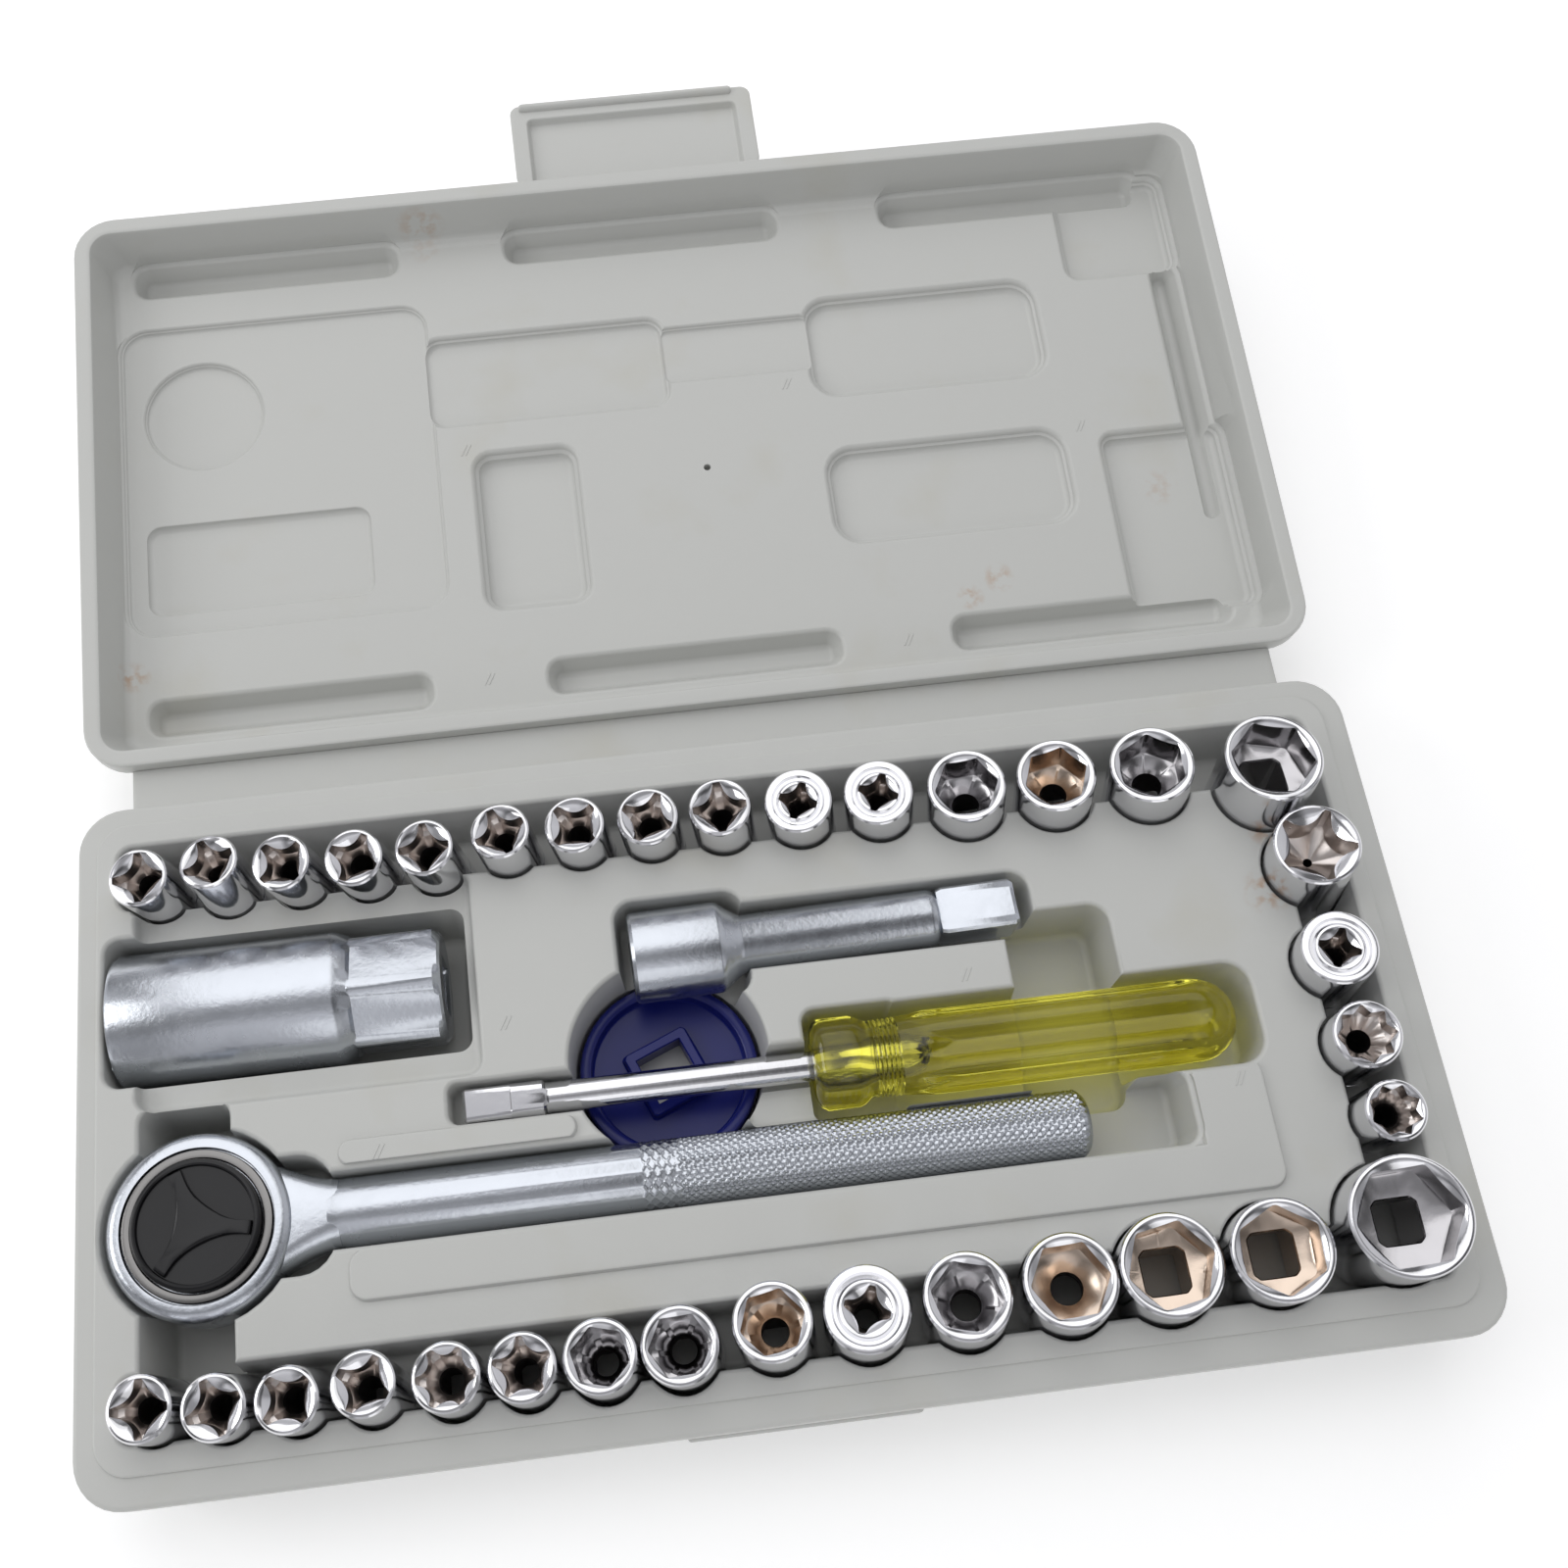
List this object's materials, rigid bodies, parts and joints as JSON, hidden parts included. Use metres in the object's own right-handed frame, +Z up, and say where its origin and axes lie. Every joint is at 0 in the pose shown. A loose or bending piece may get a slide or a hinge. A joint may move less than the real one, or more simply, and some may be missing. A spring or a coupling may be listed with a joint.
{
  "type": "socket wrench set in case",
  "caption": "Open blow-moulded case with sockets in a C-shaped channel, a round-head ratchet, extension, spinner handle and spark plug socket in fitted pockets.",
  "frame": {"origin": "centre of the flat underside of the tray half", "axes": "+X along the case towards its right end as it is read, +Y from the tray to the lid, +Z up out of the tray"},
  "size_m": [0.26, 0.2979, 0.0376],
  "materials": {
    "case_plastic": "pale warm grey polyethylene, satin, blow moulded",
    "chrome_steel": "bright chrome plate, worn",
    "zinc_steel": "satin nickel or zinc plate on steel, worn",
    "cap_plastic": "black moulded plastic",
    "insert_rubber": "black rubber",
    "wheel_plastic": "deep blue moulded plastic",
    "grip_plastic": "clear yellow-green acetate"
  },
  "bodies": {
    "tray": {"tray_half": "case_plastic"},
    "spine": {"spine": "case_plastic"},
    "lid": {"lid_half": "case_plastic"},
    "latch": {"latch_flap": "case_plastic"},
    "ratchet": {"ratchet_body": "zinc_steel", "retaining_ring": "zinc_steel", "pawl": "zinc_steel", "pawl_spring": "zinc_steel"},
    "ratchet_drive": {"drive_gear": "zinc_steel", "drive_ball": "chrome_steel", "drive_ball_spring": "zinc_steel"},
    "ratchet_cap": {"reversing_cap": "cap_plastic"},
    "extension": {"extension_bar": "zinc_steel", "extension_ball": "chrome_steel", "extension_ball_spring": "zinc_steel"},
    "spinner": {"spinner_shaft": "chrome_steel", "spinner_ball": "chrome_steel", "spinner_ball_spring": "zinc_steel", "spinner_grip": "grip_plastic"},
    "plug_socket": {"plug_socket": "zinc_steel", "plug_socket_insert": "insert_rubber"},
    "thumb_wheel": {"thumb_wheel": "wheel_plastic"},
    "socket_01": {"socket_01": "chrome_steel"},
    "socket_02": {"socket_02": "chrome_steel"},
    "socket_03": {"socket_03": "chrome_steel"},
    "socket_04": {"socket_04": "chrome_steel"},
    "socket_05": {"socket_05": "chrome_steel"},
    "socket_06": {"socket_06": "chrome_steel"},
    "socket_07": {"socket_07": "chrome_steel"},
    "socket_08": {"socket_08": "chrome_steel"},
    "socket_09": {"socket_09": "chrome_steel"},
    "socket_10": {"socket_10": "chrome_steel"},
    "socket_11": {"socket_11": "chrome_steel"},
    "socket_12": {"socket_12": "chrome_steel"},
    "socket_13": {"socket_13": "chrome_steel"},
    "socket_14": {"socket_14": "chrome_steel"},
    "socket_15": {"socket_15": "chrome_steel"},
    "socket_16": {"socket_16": "chrome_steel"},
    "socket_17": {"socket_17": "chrome_steel"},
    "socket_18": {"socket_18": "chrome_steel"},
    "socket_19": {"socket_19": "chrome_steel"},
    "socket_20": {"socket_20": "chrome_steel"},
    "socket_21": {"socket_21": "chrome_steel"},
    "socket_22": {"socket_22": "chrome_steel"},
    "socket_23": {"socket_23": "chrome_steel"},
    "socket_24": {"socket_24": "chrome_steel"},
    "socket_25": {"socket_25": "chrome_steel"},
    "socket_26": {"socket_26": "chrome_steel"},
    "socket_27": {"socket_27": "chrome_steel"},
    "socket_28": {"socket_28": "chrome_steel"},
    "socket_29": {"socket_29": "chrome_steel"},
    "socket_30": {"socket_30": "chrome_steel"},
    "socket_31": {"socket_31": "chrome_steel"},
    "socket_32": {"socket_32": "chrome_steel"},
    "socket_33": {"socket_33": "chrome_steel"},
    "socket_34": {"socket_34": "chrome_steel"}
  },
  "joints": [
    {"name": "tray_fold", "type": "hinge", "parent": "tray", "child": "spine", "pos_m": [0, 0.0663, 0.0175], "axis": [-1, 0, 0], "range_deg": [-87.5, 0]},
    {"name": "lid_fold", "type": "hinge", "parent": "spine", "child": "lid", "pos_m": [0, 0.07644, 0.01794], "axis": [-1, 0, 0], "range_deg": [-87.5, 0]},
    {"name": "latch_fold", "type": "hinge", "parent": "lid", "child": "latch", "pos_m": [0, 0.20872, 0.03082], "axis": [-1, 0, 0], "range_deg": [-90, 0]},
    {"name": "drive_spin", "type": "hinge", "parent": "ratchet", "child": "ratchet_drive", "pos_m": [-0.107, -0.019, 0.019], "axis": [0, 0, 1], "continuous": true},
    {"name": "cap_turn", "type": "hinge", "parent": "ratchet", "child": "ratchet_cap", "pos_m": [-0.107, -0.019, 0.019], "axis": [0, 0, 1], "range_deg": [-45, 0]},
    {"name": "wheel_turn", "type": "hinge", "parent": "tray", "child": "thumb_wheel", "pos_m": [-0.0174, 0.0022, 0.0055], "axis": [0, 0, 1], "continuous": true},
    {"name": "ratchet_lift", "type": "slide", "parent": "tray", "child": "ratchet", "axis": [0, 0, 1], "range_m": [0, 0.026]},
    {"name": "extension_lift", "type": "slide", "parent": "tray", "child": "extension", "axis": [0, 0, 1], "range_m": [0, 0.022]},
    {"name": "spinner_lift", "type": "slide", "parent": "tray", "child": "spinner", "axis": [0, 0, 1], "range_m": [0, 0.022]},
    {"name": "plug_socket_lift", "type": "slide", "parent": "tray", "child": "plug_socket", "axis": [0, 0, 1], "range_m": [0, 0.026]},
    {"name": "socket_01_lift", "type": "slide", "parent": "tray", "child": "socket_01", "axis": [-0.1044, -0.0521, 0.9932], "range_m": [0, 0.018]},
    {"name": "socket_02_lift", "type": "slide", "parent": "tray", "child": "socket_02", "axis": [-0.1038, 0.1212, 0.9872], "range_m": [0, 0.018]},
    {"name": "socket_03_lift", "type": "slide", "parent": "tray", "child": "socket_03", "axis": [-0.1391, -0.0346, 0.9897], "range_m": [0, 0.018]},
    {"name": "socket_04_lift", "type": "slide", "parent": "tray", "child": "socket_04", "axis": [-0.1043, -0.0694, 0.9921], "range_m": [0, 0.018]},
    {"name": "socket_05_lift", "type": "slide", "parent": "tray", "child": "socket_05", "axis": [-0.1045, -0.0174, 0.9944], "range_m": [0, 0.018]},
    {"name": "socket_06_lift", "type": "slide", "parent": "tray", "child": "socket_06", "axis": [-0.1044, 0.0521, 0.9932], "range_m": [0, 0.018]},
    {"name": "socket_07_lift", "type": "slide", "parent": "tray", "child": "socket_07", "axis": [-0.1045, 0.0174, 0.9944], "range_m": [0, 0.018]},
    {"name": "socket_08_lift", "type": "slide", "parent": "tray", "child": "socket_08", "axis": [-0.0871, 0.0174, 0.996], "range_m": [0, 0.018]},
    {"name": "socket_09_lift", "type": "slide", "parent": "tray", "child": "socket_09", "axis": [-0.1044, 0.0521, 0.9932], "range_m": [0, 0.018]},
    {"name": "socket_10_lift", "type": "slide", "parent": "tray", "child": "socket_10", "axis": [-0.1218, -0.0173, 0.9924], "range_m": [0, 0.018]},
    {"name": "socket_11_lift", "type": "slide", "parent": "tray", "child": "socket_11", "axis": [-0.1219, 0, 0.9925], "range_m": [0, 0.018]},
    {"name": "socket_12_lift", "type": "slide", "parent": "tray", "child": "socket_12", "axis": [-0.1217, 0.0519, 0.9912], "range_m": [0, 0.018]},
    {"name": "socket_13_lift", "type": "slide", "parent": "tray", "child": "socket_13", "axis": [-0.1217, 0.0519, 0.9912], "range_m": [0, 0.018]},
    {"name": "socket_14_lift", "type": "slide", "parent": "tray", "child": "socket_14", "axis": [-0.1216, 0.0692, 0.9902], "range_m": [0, 0.018]},
    {"name": "socket_15_lift", "type": "slide", "parent": "tray", "child": "socket_15", "axis": [-0.0346, 0.1218, 0.992], "range_m": [0, 0.018]},
    {"name": "socket_16_lift", "type": "slide", "parent": "tray", "child": "socket_16", "axis": [-0.1217, 0.0519, 0.9912], "range_m": [0, 0.018]},
    {"name": "socket_17_lift", "type": "slide", "parent": "tray", "child": "socket_17", "axis": [-0.1045, 0.0347, 0.9939], "range_m": [0, 0.018]},
    {"name": "socket_18_lift", "type": "slide", "parent": "tray", "child": "socket_18", "axis": [-0.0872, 0, 0.9962], "range_m": [0, 0.018]},
    {"name": "socket_19_lift", "type": "slide", "parent": "tray", "child": "socket_19", "axis": [-0.0697, -0.0348, 0.997], "range_m": [0, 0.018]},
    {"name": "socket_20_lift", "type": "slide", "parent": "tray", "child": "socket_20", "axis": [-0.1045, -0.0174, 0.9944], "range_m": [0, 0.018]},
    {"name": "socket_21_lift", "type": "slide", "parent": "tray", "child": "socket_21", "axis": [-0.0523, 0, 0.9986], "range_m": [0, 0.018]},
    {"name": "socket_22_lift", "type": "slide", "parent": "tray", "child": "socket_22", "axis": [-0.0349, -0.0349, 0.9988], "range_m": [0, 0.018]},
    {"name": "socket_23_lift", "type": "slide", "parent": "tray", "child": "socket_23", "axis": [-0.0698, -0.0174, 0.9974], "range_m": [0, 0.018]},
    {"name": "socket_24_lift", "type": "slide", "parent": "tray", "child": "socket_24", "axis": [-0.0694, 0.1043, 0.9921], "range_m": [0, 0.018]},
    {"name": "socket_25_lift", "type": "slide", "parent": "tray", "child": "socket_25", "axis": [-0.0523, 0.0523, 0.9973], "range_m": [0, 0.018]},
    {"name": "socket_26_lift", "type": "slide", "parent": "tray", "child": "socket_26", "axis": [-0.0523, 0.0523, 0.9973], "range_m": [0, 0.018]},
    {"name": "socket_27_lift", "type": "slide", "parent": "tray", "child": "socket_27", "axis": [-0.0697, 0.0522, 0.9962], "range_m": [0, 0.018]},
    {"name": "socket_28_lift", "type": "slide", "parent": "tray", "child": "socket_28", "axis": [-0.0698, 0.0174, 0.9974], "range_m": [0, 0.018]},
    {"name": "socket_29_lift", "type": "slide", "parent": "tray", "child": "socket_29", "axis": [-0.0867, 0.1041, 0.9908], "range_m": [0, 0.018]},
    {"name": "socket_30_lift", "type": "slide", "parent": "tray", "child": "socket_30", "axis": [-0.0696, 0.0696, 0.9951], "range_m": [0, 0.018]},
    {"name": "socket_31_lift", "type": "slide", "parent": "tray", "child": "socket_31", "axis": [-0.1043, 0.0694, 0.9921], "range_m": [0, 0.018]},
    {"name": "socket_32_lift", "type": "slide", "parent": "tray", "child": "socket_32", "axis": [-0.1217, 0.0519, 0.9912], "range_m": [0, 0.018]},
    {"name": "socket_33_lift", "type": "slide", "parent": "tray", "child": "socket_33", "axis": [-0.1045, 0.0347, 0.9939], "range_m": [0, 0.018]},
    {"name": "socket_34_lift", "type": "slide", "parent": "tray", "child": "socket_34", "axis": [-0.1218, -0.0173, 0.9924], "range_m": [0, 0.018]}
  ],
  "couplings": [
    {"joint": "lid_fold", "follows": "tray_fold", "ratio": 1}
  ]
}
